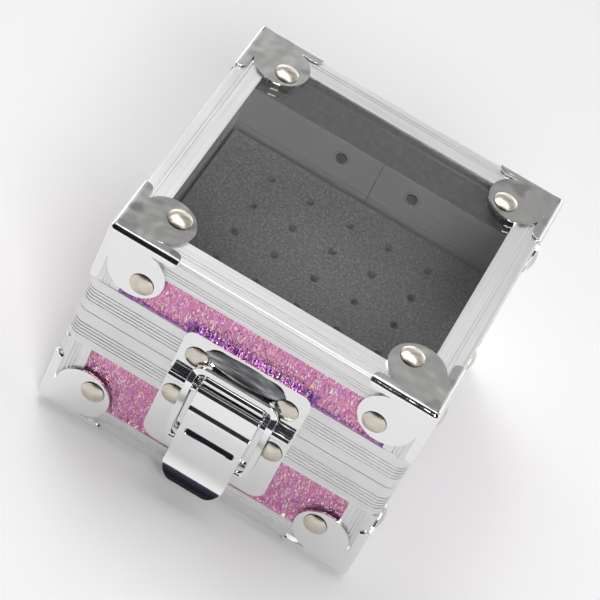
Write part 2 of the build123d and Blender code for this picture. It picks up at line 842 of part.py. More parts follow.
hinge_end = hinge_width / 2
lid_knuckle_end = hinge_middle_share * hinge_width / 2
base_knuckle_start = lid_knuckle_end + hinge_knuckle_gap
make_leaf(
    "hinge_base_leaf",
    -1,
    [(-hinge_end, -base_knuckle_start), (base_knuckle_start, hinge_end)],
    hinge_base_spots,
)
make_leaf("hinge_lid_leaf", 1, [(-lid_knuckle_end, lid_knuckle_end)], hinge_lid_spots)
with BuildPart() as hinge_pin:
    with BuildSketch(Plane.YZ):
        with Locations((hinge_y, seam)):
            Circle(hinge_pin_r)
    extrude(amount=hinge_end, both=True)
keep(hinge_pin.part, "hinge_pin")
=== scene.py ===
"""Looks of the drill bit storage box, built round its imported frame.

Everything is in metres, in the frame of the solids: +Z up, the latch on the -Y side. Each
sub-assembly is a class that makes its pieces and dresses them, each finish is a small
frozen class, and the frame says where every piece belongs.
"""

import logging
from collections.abc import Callable, Iterable, Iterator
from contextlib import contextmanager
from dataclasses import dataclass, field
from enum import Enum
from math import cos, inf, radians, sin

import bmesh
import bpy
from mathutils import Matrix, Vector


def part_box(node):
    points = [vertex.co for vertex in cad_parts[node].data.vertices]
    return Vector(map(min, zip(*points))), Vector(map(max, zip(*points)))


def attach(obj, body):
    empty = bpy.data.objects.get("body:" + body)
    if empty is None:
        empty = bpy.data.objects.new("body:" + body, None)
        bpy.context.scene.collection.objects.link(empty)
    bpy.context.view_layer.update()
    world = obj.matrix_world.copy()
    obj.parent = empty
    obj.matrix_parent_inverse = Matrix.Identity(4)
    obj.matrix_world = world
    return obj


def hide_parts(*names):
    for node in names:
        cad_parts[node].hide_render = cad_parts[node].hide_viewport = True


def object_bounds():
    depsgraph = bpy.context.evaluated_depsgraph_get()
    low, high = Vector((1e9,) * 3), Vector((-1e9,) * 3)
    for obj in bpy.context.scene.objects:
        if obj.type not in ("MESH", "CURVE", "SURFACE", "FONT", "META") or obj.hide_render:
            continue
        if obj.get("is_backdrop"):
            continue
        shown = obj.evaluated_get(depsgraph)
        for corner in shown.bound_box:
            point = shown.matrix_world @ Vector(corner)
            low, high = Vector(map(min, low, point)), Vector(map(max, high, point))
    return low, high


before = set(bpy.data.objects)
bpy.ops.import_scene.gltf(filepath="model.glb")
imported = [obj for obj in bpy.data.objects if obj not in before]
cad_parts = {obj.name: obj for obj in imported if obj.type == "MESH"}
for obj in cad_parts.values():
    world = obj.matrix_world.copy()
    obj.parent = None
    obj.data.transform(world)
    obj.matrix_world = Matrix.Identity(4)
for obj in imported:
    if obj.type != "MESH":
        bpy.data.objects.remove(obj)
cad_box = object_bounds()
log = logging.getLogger("storage_box")

MM = 0.001
NEAR = 0.01 * MM
MERGED = 0.002 * MM

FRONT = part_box("lid_front_left_corner")[0].y
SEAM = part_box("base_rim")[1].z + 0.1 * MM
LID_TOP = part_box("lid_front_left_corner")[1].z

Colour = tuple[float, float, float]
Material = bpy.types.Material
Piece = bpy.types.Object
Socket = bpy.types.NodeSocket
Value = Socket | float | tuple
Test = Callable[[Vector, Vector], bool]

BLACK: Colour = (0, 0, 0)
WHITE: Colour = (1, 1, 1)


class Body(Enum):
    """Bodies of the model that pieces ride on."""

    BASE = "base"
    LID = "lid"
    LEVER = "lever"
    LOOP = "loop"


class Slot(Enum):
    """Material slots of the record that new pieces belong to."""

    CHROME = "chromed_steel"
    NICKEL = "nickel_rivet"
    HINGE = "hinge_steel"
    ALUMINIUM = "aluminium"
    ACRYLIC = "clear_acrylic"
    FOAM = "foam"


class Part(Enum):
    """Kinds of mesh element that edit mode picks."""

    VERTS = "VERT"
    EDGES = "EDGE"
    FACES = "FACE"


SIDES = ("front", "back", "left", "right")
CORNERS = ("front_left", "front_right", "back_left", "back_right")


# Edit mode by hand
def put_down() -> None:
    """Leave edit mode and deselect everything."""
    if bpy.context.object and bpy.context.object.mode != "OBJECT":
        bpy.ops.object.mode_set(mode="OBJECT")
    bpy.ops.object.select_all(action="DESELECT")


def pick_up(piece: Piece) -> None:
    """Make one piece the only selected and the active one.

    Args:
        piece: The piece to work on.
    """
    put_down()
    piece.select_set(True)
    bpy.context.view_layer.objects.active = piece


@contextmanager
def editing(piece: Piece) -> Iterator[None]:
    """Edit mode on one piece, picking points, with nothing of it picked yet.

    Args:
        piece: The piece to open.

    Yields:
        Nothing. The operators of edit mode act on the piece meanwhile.
    """
    pick_up(piece)
    bpy.ops.object.mode_set(mode="EDIT")
    bpy.ops.mesh.select_mode(type="VERT")
    bpy.ops.mesh.select_all(action="DESELECT")
    yield
    bpy.ops.object.mode_set(mode="OBJECT")


def pick_all() -> None:
    """Select the whole of the open piece."""
    bpy.ops.mesh.select_all(action="SELECT")


def pick(piece: Piece, part: Part, test: Test) -> None:
    """Select the elements of an open piece that pass a test.

    Args:
        piece: A piece in edit mode.
        part: Which kind of element is picked.
        test: Says yes or no to an element's middle and its normal or direction.
    """
    bpy.ops.mesh.select_mode(type=part.value)
    bpy.ops.mesh.select_all(action="DESELECT")
    mesh = bmesh.from_edit_mesh(piece.data)
    for element in getattr(mesh, part.name.lower()):
        if part is Part.FACES:
            middle, way = element.calc_center_median(), element.normal
        elif part is Part.EDGES:
            first, last = (v.co for v in element.verts)
            middle, way = (first + last) / 2, (last - first).normalized()
        else:
            middle, way = element.co, element.normal
        if test(middle, way):
            element.select_set(True)
    mesh.select_flush_mode()
    bmesh.update_edit_mesh(piece.data)


def add_modifier(piece: Piece, kind: str, **settings: object) -> None:
    """Add a modifier to a piece and apply it.

    Args:
        piece: The piece to change.
        kind: Blender's name of the modifier's type.
        **settings: Values of the modifier's properties.
    """
    pick_up(piece)
    modifier = piece.modifiers.new(kind.title(), kind)
    for name, value in settings.items():
        setattr(modifier, name, value)
    bpy.ops.object.modifier_apply(modifier=modifier.name)


def smooth(piece: Piece, angle: float = 32.0) -> None:
    """Shade a piece smooth up to an angle, with its flat faces kept flat.

    Args:
        piece: The piece to shade.
        angle: Degrees between faces past which their edge stays sharp.
    """
    pick_up(piece)
    bpy.ops.object.shade_smooth_by_angle(angle=radians(angle))
    add_modifier(piece, "WEIGHTED_NORMAL", keep_sharp=True, weight=60)


def settled(name: str) -> Piece:
    """Name the active piece, and put its place, turn and scale into its mesh.

    Args:
        name: The piece's name.

    Returns:
        The piece.
    """
    piece = bpy.context.object
    piece.name = piece.data.name = name
    bpy.ops.object.transform_apply(location=True, rotation=True, scale=True)
    return piece


def block(name: str, low: Vector, high: Vector) -> Piece:
    """Start a piece as a cube between two corners.

    Args:
        name: The piece's name.
        low: Its lowest corner.
        high: Its highest corner.

    Returns:
        The new piece, its place in its mesh.
    """
    put_down()
    bpy.ops.mesh.primitive_cube_add(size=1, location=(low + high) / 2)
    bpy.context.object.scale = high - low
    return settled(name)


def rod(name: str, start: Vector, end: Vector, radius: float, sides: int) -> Piece:
    """Start a piece as a round bar between two points.

    Args:
        name: The piece's name.
        start: Middle of one end.
        end: Middle of the other end.
        radius: The bar's radius.
        sides: How many faces go round it.

    Returns:
        The new piece, its place in its mesh.
    """
    put_down()
    way = end - start
    bpy.ops.mesh.primitive_cylinder_add(
        vertices=sides,
        radius=radius,
        depth=way.length,
        location=(start + end) / 2,
        rotation=way.to_track_quat("Z", "Y").to_euler(),
    )
    return settled(name)


def copy_piece(piece: Piece, name: str, place: Matrix) -> Piece:
    """Copy a piece with a mesh of its own.

    Args:
        piece: The piece to copy.
        name: The copy's name.
        place: Where the copy goes, put into its mesh.

    Returns:
        The copy.
    """
    copy = piece.copy()
    copy.data = piece.data.copy()
    copy.name = copy.data.name = name
    bpy.context.scene.collection.objects.link(copy)
    copy.data.transform(place)
    return copy


def joined(name: str, parts: Iterable[Piece]) -> Piece:
    """Join several meshes into one piece.

    Args:
        name: The piece's name.
        parts: The meshes to join.

    Returns:
        The joined piece.
    """
    parts = list(parts)
    put_down()
    for part in parts:
        part.select_set(True)
    bpy.context.view_layer.objects.active = parts[0]
    bpy.ops.object.join()
    piece = bpy.context.object
    piece.name = piece.data.name = name
    return piece


def cut(piece: Piece, tool: Piece, operation: str = "DIFFERENCE") -> None:
    """Cut a piece with another shape, and throw that shape away.

    Args:
        piece: The piece to cut.
        tool: The shape to take out of it, or to keep it within.
        operation: "DIFFERENCE" takes the shape out, "INTERSECT" keeps what is within it.
    """
    add_modifier(piece, "BOOLEAN", object=tool, operation=operation, solver="EXACT")
    bpy.data.objects.remove(tool)


def out(distance: float, height: float) -> Vector:
    """Point of the latch's side view, in millimetres.

    Args:
        distance: How far it lies in front of the corner plates.
        height: Its height over the seam.

    Returns:
        The point, in the middle of the latch.
    """
    return Vector((0, FRONT - distance * MM, SEAM + height * MM))


def turn_to_front(piece: Piece, top: float = inf, half: float = inf) -> None:
    """Turn a sheet's faces one way, so that the ones that count look to the front.

    Args:
        piece: The sheet.
        top: Height under which its faces count.
        half: Distance from the middle within which they count.
    """
    with editing(piece):
        pick_all()
        bpy.ops.mesh.normals_make_consistent(inside=False)
    seen = [f for f in piece.data.polygons if f.center.z < top and abs(f.center.x) < half]
    if sum(face.normal.y * face.area for face in seen) > 0:
        with editing(piece):
            pick_all()
            bpy.ops.mesh.flip_normals()


def traced(name: str, path: list[Vector], stations: list[float]) -> Piece:
    """Start a sheet by tracing its side view and drawing it out sideways.

    Args:
        name: The piece's name.
        path: Points of the side view, from the top down, on the sheet's outer face.
        stations: Places across the sheet where its rows of points stand.

    Returns:
        The sheet, its faces turned to the front.
    """
    put_down()
    start = path[0] + Vector((stations[0], 0, 0))
    bpy.ops.mesh.primitive_plane_add(size=MM, location=start)
    piece = settled(name)
    with editing(piece):
        pick_all()
        bpy.ops.mesh.merge(type="CENTER")
        for here, there in zip(path, path[1:]):
            step = {"value": there - here}
            bpy.ops.mesh.extrude_vertices_move(TRANSFORM_OT_translate=step)
        pick_all()
        for here, there in zip(stations, stations[1:]):
            step = {"value": (there - here, 0, 0)}
            bpy.ops.mesh.extrude_edges_move(TRANSFORM_OT_translate=step)
    turn_to_front(piece)
    return piece


def copy_of_node(node: str, name: str) -> Piece:
    """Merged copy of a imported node, with its flat faces whole again.

    Args:
        node: The node's name.
        name: The copy's name.

    Returns:
        The copy, ready for edit mode.
    """
    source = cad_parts[node]
    piece = bpy.data.objects.new(name, source.data.copy())
    bpy.context.scene.collection.objects.link(piece)
    piece.data.materials.clear()
    with editing(piece):
        bpy.ops.mesh.customdata_custom_splitnormals_clear()
        pick_all()
        bpy.ops.mesh.remove_doubles(threshold=MERGED)
        bpy.ops.mesh.dissolve_limited(angle_limit=radians(0.4), use_dissolve_boundaries=False)
    return piece


def broken_edges(piece: Piece, width: float, rounds: int = 2, angle: float = 40.0) -> Piece:
    """Round the sharp edges of a piece.

    Args:
        piece: The piece to work on.
        width: How wide each rounding is.
        rounds: How many faces it has.
        angle: Degrees between faces past which an edge is sharp.

    Returns:
        The same piece.
    """
    add_modifier(
        piece,
        "BEVEL",
        width=width,
        segments=rounds,
        limit_method="ANGLE",
        angle_limit=radians(angle),
        miter_outer="MITER_ARC",
        use_clamp_overlap=True,
    )
    smooth(piece)
    return piece


# Finishes
class Tree:
    """A tree of shader nodes, with short ways to add to it."""

    def __init__(self, owner: Material | bpy.types.World) -> None:
        """Start on the tree of a material or a world."""
        owner.use_nodes = True
        self.tree = owner.node_tree

    def add(self, kind: str, **inputs: object) -> bpy.types.Node:
        """Add a node.

        Args:
            kind: The node's type, without Blender's ShaderNode.
            **inputs: Properties by their names, and sockets by theirs with _ for a space.

        Returns:
            The node.
        """
        node = self.tree.nodes.new(f"ShaderNode{kind}")
        for name, value in inputs.items():
            if hasattr(node, name):
                setattr(node, name, value)
            else:
                self.feed(node.inputs[name.replace("_", " ")], value)
        return node

    def feed(self, socket: Socket, value: Value) -> None:
        """Give a socket a value, or the output that makes its value.

        Args:
            socket: The socket.
            value: A plain value, or another node's output.
        """
        if isinstance(value, Socket):
            self.tree.links.new(value, socket)
        else:
            socket.default_value = value

    def noise(self, where: Socket, scale: float, detail: float = 2.0) -> Socket:
        """A noise at some coordinates."""
        return self.add("TexNoise", Vector=where, Scale=scale, Detail=detail).outputs[0]

    def spread(self, value: Socket, low: float, high: float) -> Socket:
        """A value from 0 to 1, spread between two others."""
        return self.add("MapRange", Value=value, To_Min=low, To_Max=high).outputs[0]

    def maths(self, operation: str, first: Socket, *rest: Socket) -> Socket:
        """One sum of several values.

        Args:
            operation: Blender's name of the operation.
            first: The first value.
            *rest: The values that join it in turn.

        Returns:
            The result.
        """
        for value in rest:
            node = self.add("Math", operation=operation)
            self.feed(node.inputs[0], first)
            self.feed(node.inputs[1], value)
            first = node.outputs[0]
        return first

    def ramp(self, value: Socket, stops: dict[float, Colour]) -> Socket:
        """A colour ramp over a value.

        Args:
            value: The value, from 0 to 1.
            stops: The colours by their places on the ramp.

        Returns:
            The colour.
        """
        node = self.add("ValToRGB", Fac=value)
        elements = node.color_ramp.elements
        while len(elements) < len(stops):
            elements.new(0.5)
        for element, (position, colour) in zip(elements, stops.items()):
            element.position = position
            element.color = (*colour, 1)
        return node.outputs["Color"]

    def mix(self, share: Value, first: Value, last: Value, blend: str = "MIX") -> Socket:
        """A mix of two colours.

        Args:
            share: How much of the last there is.
            first: The first colour.
            last: The last colour.
            blend: Blender's name of the way they mix.

        Returns:
            The mixed colour.
        """
        node = self.add("Mix", data_type="RGBA", blend_type=blend)
        for number, value in {0: share, 6: first, 7: last}.items():
            self.feed(node.inputs[number], value)
        return node.outputs[2]

    def fall(self, value: Socket, full: float, none: float) -> Socket:
        """A share that falls smoothly from one to nothing.

        Args:
            value: The length that it follows.
            full: Where the share is one.
            none: Where it has fallen to nothing.

        Returns:
            The share.
        """
        node = self.add("MapRange", Value=value, interpolation_type="SMOOTHSTEP")
        low, high = sorted((full, none))
        ends = (low, high, 1.0, 0.0) if full < none else (low, high, 0.0, 1.0)
        for socket, end in zip(("From Min", "From Max", "To Min", "To Max"), ends):
            node.inputs[socket].default_value = end
        return node.outputs[0]


class Sheet(Tree):
    """The node tree of one new material."""

    def __init__(self, name: str) -> None:
        """Start a plain material.

        Args:
            name: The material's name.
        """
        self.material = bpy.data.materials.new(name)
        super().__init__(self.material)
        self.shader = self.tree.nodes["Principled BSDF"]

    def link(self, start: Socket, end: str) -> None:
        """Join an output to one of the shader's sockets."""
        self.tree.links.new(start, self.shader.inputs[end])

    def set(self, **values: object) -> None:
        """Give the shader's own sockets their values."""
        for name, value in values.items():
            self.shader.inputs[name.replace("_", " ")].default_value = value

    def place(self, stretch: Colour = WHITE) -> Socket:
        """The piece's own coordinates, stretched."""
        own = self.add("TexCoord").outputs["Object"]
        return self.add("Mapping", Vector=own, Scale=stretch).outputs["Vector"]

    def rough(self, grain: Socket, low: float, more: float) -> None:
        """Roughness that a grain raises from its lowest value by up to some more."""
        self.link(self.spread(grain, low, low + more), "Roughness")

    def relief(self, *layers: tuple[Socket, float, float]) -> None:
        """Raise the surface by layers of bump, each over the one before.

        Args:
            *layers: The height, depth and strength of each.
        """
        under = None
        for height, depth, strength in layers:
            node = self.add("Bump", Height=height, Distance=depth, Strength=strength)
            if under is not None:
                self.feed(node.inputs["Normal"], under)
            under = node.outputs["Normal"]
        self.link(under, "Normal")


def toned(colour: Colour, share: float) -> Colour:
    """A colour made lighter or darker by a share."""
    return tuple(part * share for part in colour)


@dataclass(frozen=True)
class PressedChrome:
    """Bright chrome on pressed sheet, a little wavy, darker in patches on the lid's top.

    Those patches are painted reflection, standing in for the dark reflections of dents.
    """

    tint: Colour = (0.84, 0.84, 0.835)
    roughness: float = 0.045
    wave: float = 0.2 * MM
    wave_scale: float = 160.0
    wipe: tuple[Colour, float] = ((900, 900, 140), 3.0)
    wipe_depth: float = 0.002 * MM
    # Painted reflection: tone, scale and depth band of dark patches on the lid's top, for dents
    dent_reflection: Colour = (0.56, 0.56, 0.545)
    dent_reflection_scale: float = 150.0
    dent_reflection_skin: tuple[float, float] = (0.05 * MM, 0.3 * MM)

    def material(self) -> Material:
        """Make the finish.

        Returns:
            Its material.
        """
        sheet = Sheet("pressed_chrome")
        where = sheet.place()
        waves = sheet.noise(where, self.wave_scale, 1.0)
        wipes = sheet.noise(sheet.place(self.wipe[0]), self.wipe[1], 3.0)
        height = sheet.add("SeparateXYZ", Vector=where).outputs[2]
        # Painted reflection: darker patches on the lid's top, for the dark reflections of dents
        on_top = sheet.fall(height, *(LID_TOP - depth for depth in self.dent_reflection_skin))
        patches = sheet.noise(where, self.dent_reflection_scale, 1.0)
        dent_reflection_tone = sheet.ramp(patches, {0.3: self.dent_reflection, 0.44: self.tint})
        sheet.set(Metallic=1.0)
        sheet.link(sheet.mix(on_top, (*self.tint, 1), dent_reflection_tone), "Base Color")
        sheet.rough(wipes, self.roughness, 0.09)
        sheet.relief((waves, self.wave, 1.0), (wipes, self.wipe_depth, 1.0))
        return sheet.material


@dataclass(frozen=True)
class HolographicFilm:
    """Pink mirror film in small upright crinkled facets, with painted white and gold glints.

    On the lid's front a violet-blue is painted along its lower edge: painted shade and
    painted reflection, where the strike plate and lobes shade it and it mirrors their dark
    edges. It reaches highest beside the strike plate, lower by the lobes, and in a thin
    line between. Those lengths are in millimetres, each as where the painted shade is full
    and where it ends.
    """

    rose: Colour = (0.82, 0.27, 0.48)
    pale: Colour = (0.98, 0.62, 0.80)
    violet: Colour = (0.32, 0.13, 0.60)
    lilac: Colour = (0.62, 0.26, 0.66)
    # Painted glints: the gold and white facets
    gold: Colour = (0.98, 0.60, 0.30)
    white: Colour = (1.0, 0.92, 0.96)
    # Painted shade in the creases between facets
    crease_shade: Colour = (0.54, 0.16, 0.36)
    # Painted shade and painted reflection of the lid front's lower edge: its dark colours
    blue: Colour = (0.14, 0.10, 0.66)
    shade_ink: Colour = (0.03, 0.02, 0.2)
    facet: float = 0.42 * MM
    upright: float = 0.30
    crinkle: float = 0.2 * MM
    # Where that painted shade reaches, across and up, in millimetres
    strike_reach: tuple[float, float] = (17.9, 18.9)
    lobe_shade_width: tuple[float, float] = (35.0, 32.0)
    strike_glow: tuple[float, float] = (14.0, 16.6)
    lobe_shade_height: tuple[float, float] = (12.2, 14.4)
    line_shade_height: tuple[float, float] = (11.7, 12.4)
    lid_only: tuple[float, float] = (1.0, 0.0)
    front_only: tuple[float, float] = (4.2, 4.6)

    def material(self) -> Material:
        """Make the finish.

        Returns:
            Its material.
        """
        sheet = Sheet("holographic_film")
        where = sheet.place((1, 1, self.upright))
        warp = sheet.add("TexNoise", Vector=where, Scale=0.6 / self.facet, Detail=1.0)
        bent = sheet.add("VectorMath", operation="MULTIPLY_ADD")
        reach = (2.8 * self.facet,) * 3
        for socket, value in zip(bent.inputs, (warp.outputs["Color"], reach, where)):
            sheet.feed(socket, value)
        cells = {"Vector": bent.outputs[0], "Scale": 1 / self.facet}
        facets = sheet.add("TexVoronoi", **cells)
        rims = sheet.add("TexVoronoi", feature="DISTANCE_TO_EDGE", **cells)
        tone = sheet.add("SeparateColor", Color=facets.outputs["Color"])
        # Facet tones: the film's pinks, with painted glints in white and gold
        warm = {
            0.0: self.lilac,
            0.2: self.rose,
            0.4: self.pale,
            0.62: self.rose,
            0.76: self.white,
            0.88: self.pale,
            1.0: self.gold,
        }
        # Painted shade and painted reflection: the dark tones of the film's lower edge
        shade_stops = {0.0: self.shade_ink, 0.5: self.blue, 0.85: self.violet, 1.0: self.white}
        pinks, shaded_edge_colour = (sheet.ramp(tone.outputs[0], stops) for stops in (warm, shade_stops))
        colour = sheet.mix(self.foot(sheet), pinks, shaded_edge_colour)
        # Painted shade: each facet darkens at its edges, into the creases
        clear_of_crease_shade = sheet.ramp(rims.outputs[0], {0.03: BLACK, 0.19: WHITE})
        sheet.set(Metallic=0.82, Coat_Weight=0.25, Coat_Roughness=0.1)
        sheet.link(sheet.mix(clear_of_crease_shade, (*self.crease_shade, 1), colour), "Base Color")
        sheet.rough(tone.outputs[1], 0.14, 0.2)
        tilts = sheet.noise(where, 0.8 / self.facet, 1.0)
        creases = (facets.outputs["Distance"], self.crinkle, 1.0)
        sheet.relief(creases, (tilts, 1.4 * self.crinkle, 1.0))
        return sheet.material

    def foot(self, sheet: Sheet) -> Socket:
        """How much painted shade turns the film violet-blue along its lower edge.

        Args:
            sheet: The film's node tree.

        Returns:
            The share of painted shade.
        """
        across, depth, height = sheet.add("SeparateXYZ", Vector=sheet.place()).outputs
        side = sheet.add("Math", operation="ABSOLUTE")
        sheet.feed(side.inputs[0], across)
        inner, outer, over_strike, by_lobe, line, lid, front = (
            sheet.fall(value, *(start + reach * MM for reach in reaches))
            for value, start, reaches in (
                (side.outputs[0], 0.0, self.strike_reach),
                (side.outputs[0], 0.0, self.lobe_shade_width),
                (height, SEAM, self.strike_glow),
                (height, SEAM, self.lobe_shade_height),
                (height, SEAM, self.line_shade_height),
                (height, SEAM, self.lid_only),
                (depth, FRONT, self.front_only),
            )
        )
        first = sheet.maths("MULTIPLY", inner, over_strike)
        second = sheet.maths("MULTIPLY", outer, by_lobe)
        most = sheet.maths("MAXIMUM", first, second, line)
        return sheet.maths("MULTIPLY", most, lid, front)


@dataclass(frozen=True)
class FoamGrain:
    """Dark closed foam with pale and dark flecks."""

    dark: Colour = (0.055, 0.053, 0.052)
    light: Colour = (0.135, 0.130, 0.128)
    fleck: Colour = (0.26, 0.255, 0.25)
    grain_scale: float = 1500.0
    grain_depth: float = 0.1 * MM
    pore_scale: float = 1100.0
    pore_depth: float = 0.12 * MM

    def material(self) -> Material:
        """Make the finish.

        Returns:
            Its material.
        """
        sheet = Sheet("foam_grain")
        where = sheet.place()
        grain = sheet.noise(where, self.grain_scale, 4.0)
        pores = sheet.add("TexVoronoi", Vector=where, Scale=self.pore_scale)
        tone = sheet.ramp(grain, {0.35: self.dark, 0.62: self.light, 0.78: self.fleck})
        sheet.set(Sheen_Weight=0.25, Sheen_Roughness=0.5)
        sheet.link(tone, "Base Color")
        sheet.rough(grain, 0.8, 0.18)
        hollows = (pores.outputs["Distance"], self.pore_depth, 0.6)
        sheet.relief(hollows, (grain, self.grain_depth, 0.7))
        return sheet.material


@dataclass(frozen=True)
class ClearAcrylic:
    """Clear acrylic sheet with the faintest smears."""

    tint: Colour = (0.97, 0.98, 0.985)
    smear_scale: float = 45.0

    def material(self) -> Material:
        """Make the finish.

        Returns:
            Its material.
        """
        sheet = Sheet("clear_acrylic_sheet")
        smears = sheet.noise(sheet.place(), self.smear_scale, 3.0)
        sheet.set(Base_Color=(*self.tint, 1), IOR=1.49, Transmission_Weight=1.0)
        sheet.rough(smears, 0.0, 0.03)
        return sheet.material


class Along(Enum):
    """Which way a drawn profile runs, as the stretch of its drawing lines."""

    X = (0.01, 1, 1)
    Y = (1, 0.01, 1)
    Z = (1, 1, 0.01)
    ROUND = (0.01, 0.01, 1)


@dataclass(frozen=True)
class Grained:
    """A finish whose tone, roughness and relief all follow one stretched noise.

    The grain is its stretch, scale and detail. The roughness is its lowest value and how
    much the grain adds. The clouds are the shade of their dark parts, stretch and scale.
    """

    name: str
    tones: tuple[tuple[float, Colour], ...]
    grain: tuple[Colour, float, float]
    roughness: tuple[float, float]
    depth: float
    strength: float = 1.0
    metallic: float = 1.0
    clouds: tuple[Colour, Colour, float] | None = None

    def material(self) -> Material:
        """Make the finish.

        Returns:
            Its material.
        """
        sheet = Sheet(self.name)
        stretch, scale, detail = self.grain
        grain = sheet.noise(sheet.place(stretch), scale, detail)
        tone = sheet.ramp(grain, dict(self.tones))
        if self.clouds:
            shade, stretch, scale = self.clouds
            clouds = sheet.noise(sheet.place(stretch), scale)
            patches = sheet.ramp(clouds, {0.3: shade, 0.7: WHITE})
            tone = sheet.mix(1.0, tone, patches, "MULTIPLY")
        sheet.set(Metallic=self.metallic)
        sheet.link(tone, "Base Color")
        sheet.rough(grain, *self.roughness)
        sheet.relief((grain, self.depth, self.strength))
        return sheet.material


def shaded(tint: Colour, share: float) -> tuple[tuple[float, Colour], ...]:
    """Two tones of a grain: a tint made darker by a share, and the tint."""
    return ((0.3, toned(tint, share)), (0.7, tint))


def drawn_aluminium(along: Along) -> Grained:
    """Satin aluminium with drawing lines along a profile.

    Args:
        along: Which way the profile runs.

    Returns:
        The finish.
    """
    tint: Colour = (0.83, 0.83, 0.83)
    return Grained(
        f"drawn_aluminium_{along.name.lower()}",
        ((0.25, toned(tint, 0.86)), (0.75, tint)),
        (along.value, 2600.0, 2.0),
        (0.30, 0.16),
        0.012 * MM,
        metallic=0.92,
        clouds=((0.93, 0.93, 0.93), WHITE, 60.0),
    )


def drawn_steel(name: str, tint: Colour) -> Grained:
    """Zinc-bright steel of pins and hinge leaves."""
    grain = ((1, 3, 3), 300.0, 3.0)
    return Grained(name, shaded(tint, 0.85), grain, (0.24, 0.14), 0.01 * MM)


def dark_cover(name: str, tint: Colour) -> Grained:
    """Plain dark paper of the lining and the underside."""
    tones = ((0.3, tint), (0.7, toned(tint, 1.5)))
    return Grained(name, tones, (WHITE, 900.0, 4.0), (0.55, 0.2), 0.05 * MM, 0.6, 0.0)


PIN_STEEL = drawn_steel("pin_steel", (0.62, 0.62, 0.63))
LEAF_STEEL = drawn_steel("leaf_steel", (0.7, 0.7, 0.71))
RIVET_NICKEL = Grained(
    "rivet_nickel",
    shaded((0.72, 0.67, 0.58), 0.82),
    (WHITE, 420.0, 3.0),
    (0.16, 0.12),
    0.05 * MM,
)
# The dish's grain of brush marks, with painted reflection: its dark and bright tones stand in
# for the dish's dark reflection and bright streaks
BRUSHED_DISH_AND_REFLECTION = Grained(
    "brushed_dish_and_reflection",
    ((0.30, (0.15, 0.155, 0.16)), (0.52, (0.3, 0.305, 0.31)), (0.78, (0.85, 0.86, 0.87))),
    ((0.22, 1, 1), 900.0, 3.0),
    (0.24, 0.2),
    0.05 * MM,
    clouds=((0.6, 0.6, 0.61), (0.4, 1, 1), 260.0),
)

Finish = PressedChrome | HolographicFilm | FoamGrain | ClearAcrylic | Grained


class Workshop:
    """Hands out each finish's material once, and signs off finished pieces."""

    def __init__(self) -> None:
        """Start with no materials made."""
        self.made: dict[Finish, Material] = {}

    def paint(self, piece: Piece, finish: Finish) -> None:
        """Give a piece a finish.

        Args:
            piece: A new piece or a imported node.
            finish: The finish to give it.
        """
        if finish not in self.made:
            self.made[finish] = finish.material()
        if not piece.material_slots:
            piece.data.materials.append(None)
        for slot in piece.material_slots:
            slot.material = self.made[finish]

    def keep_node(self, node: str, finish: Finish) -> None:
        """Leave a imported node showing, in a better finish."""
        self.paint(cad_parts[node], finish)
        log.info("node %s keeps its shape", node)

    def hand_over(
        self, piece: Piece, body: Body, slot: Slot, finish: Finish, *nodes: str
    ) -> None:
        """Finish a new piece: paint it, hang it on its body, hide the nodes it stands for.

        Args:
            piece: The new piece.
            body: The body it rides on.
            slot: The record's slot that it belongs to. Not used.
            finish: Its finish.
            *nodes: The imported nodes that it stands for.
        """
        self.paint(piece, finish)
        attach(piece, body.value)
        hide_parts(*nodes)
        log.info("piece %s rides on %s", piece.name, body.value)


# Sub-assemblies
@dataclass
class Boards:
    """Walls, bottom, window and lining of the case."""

    shop: Workshop
    film: HolographicFilm = HolographicFilm()
    cover: Grained = dark_cover("dark_cover", (0.045, 0.045, 0.05))
    lining: Grained = dark_cover("lining_paper", (0.085, 0.085, 0.087))
    acrylic: ClearAcrylic = ClearAcrylic()
    window_edge: float = 0.2 * MM

    def build(self) -> None:
        """Dress the boards and make the window."""
        for side in SIDES:
            self.shop.keep_node(f"base_{side}_board", self.film)
            self.shop.keep_node(f"lid_{side}_board", self.film)
        self.shop.keep_node("base_bottom_board", self.cover)
        self.shop.keep_node("lid_lining", self.lining)
        window = broken_edges(copy_of_node("window", "window_sheet"), self.window_edge)
        window.visible_shadow = False
        self.shop.hand_over(window, Body.LID, Slot.ACRYLIC, self.acrylic, "window")


@dataclass
class Profiles:
    """Aluminium channels, angles and posts of the case's edges."""

    shop: Workshop
    rim_edge: float = 0.07 * MM
    angle_edge: float = 0.09 * MM

    def build(self) -> None:
        """Make the channels, angles and posts."""
        for body in (Body.BASE, Body.LID):
            self.profile(f"{body.value}_rim", body, Along.ROUND, self.rim_edge)
            for side in SIDES:
                along = Along.X if side in ("front", "back") else Along.Y
                self.profile(f"{body.value}_{side}_edge", body, along, self.angle_edge)
            for corner in CORNERS:
                self.profile(f"{body.value}_{corner}_post", body, Along.Z, self.angle_edge)

    def profile(self, node: str, body: Body, along: Along, width: float) -> None:
        """Make one profile with its edges broken.

        Args:
            node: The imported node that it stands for.
            body: The body it rides on.
            along: Which way its drawing lines run.
            width: How wide its broken edges are.
        """
        piece = broken_edges(copy_of_node(node, f"{node}_drawn"), width)
        self.shop.hand_over(piece, body, Slot.ALUMINIUM, drawn_aluminium(along), node)


